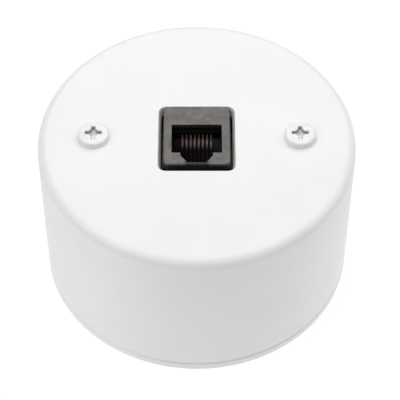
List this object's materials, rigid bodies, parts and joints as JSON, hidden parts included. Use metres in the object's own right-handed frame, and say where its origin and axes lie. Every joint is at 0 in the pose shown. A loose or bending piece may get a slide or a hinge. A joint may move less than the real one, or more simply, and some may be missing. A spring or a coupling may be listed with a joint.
{
  "type": "surface mount jack box",
  "caption": "Round surface mount box: a deep screw-on cover over a wall base, with a shielded modular network jack snapped in behind its window.",
  "frame": {"origin": "middle of the base's mounting face", "axes": "+Z away from the wall, out of the jack's mouth; +X through the two cover screws; the jack's latch side is -Y"},
  "size_m": [0.0786, 0.0786, 0.0458],
  "materials": {
    "white_shell": "satin",
    "white_metal": "satin",
    "black_plastic": "satin",
    "smoke_plastic": "satin",
    "cast_metal": "satin",
    "steel": "satin",
    "brass": "satin",
    "gold_plate": "gloss",
    "spring_bronze": "satin",
    "circuit_board": "satin"
  },
  "bodies": {
    "housing": {"cover": "white_shell", "base": "white_shell", "jack_carrier": "black_plastic", "jack_body": "cast_metal", "contact_carrier": "black_plastic", "jack_board": "circuit_board", "terminal_block": "black_plastic", "wire_cap": "smoke_plastic", "hinge_pin_near": "steel", "hinge_pin_far": "steel", "ground_spring_left": "spring_bronze", "ground_spring_right": "spring_bronze", "cover_screw_left": "white_metal", "cover_screw_right": "white_metal", "threaded_insert_left": "brass", "threaded_insert_right": "brass", "carrier_screw_left": "steel", "carrier_screw_right": "steel", "plug_contact_1": "gold_plate", "plug_contact_2": "gold_plate", "plug_contact_3": "gold_plate", "plug_contact_4": "gold_plate", "plug_contact_5": "gold_plate", "plug_contact_6": "gold_plate", "plug_contact_7": "gold_plate", "plug_contact_8": "gold_plate", "idc_terminal_1": "spring_bronze", "idc_terminal_2": "spring_bronze", "idc_terminal_3": "spring_bronze", "idc_terminal_4": "spring_bronze", "idc_terminal_5": "spring_bronze", "idc_terminal_6": "spring_bronze", "idc_terminal_7": "spring_bronze", "idc_terminal_8": "spring_bronze"},
    "near_door": {"door_near": "cast_metal"},
    "far_door": {"door_far": "cast_metal"},
    "latch": {"jack_latch": "black_plastic"}
  },
  "joints": [
    {"name": "near_door_hinge", "type": "hinge", "parent": "housing", "child": "near_door", "pos_m": [0, -0.0089, 0.028], "axis": [-1, 0, 0], "range_deg": [0, 95]},
    {"name": "far_door_hinge", "type": "hinge", "parent": "housing", "child": "far_door", "pos_m": [0, 0.0101, 0.028], "axis": [1, 0, 0], "range_deg": [0, 95]},
    {"name": "latch_pivot", "type": "hinge", "parent": "housing", "child": "latch", "pos_m": [0, -0.01035, 0.0322], "axis": [-1, 0, 0], "range_deg": [0, 4], "stiffness_Nm_per_rad": 0.3}
  ]
}
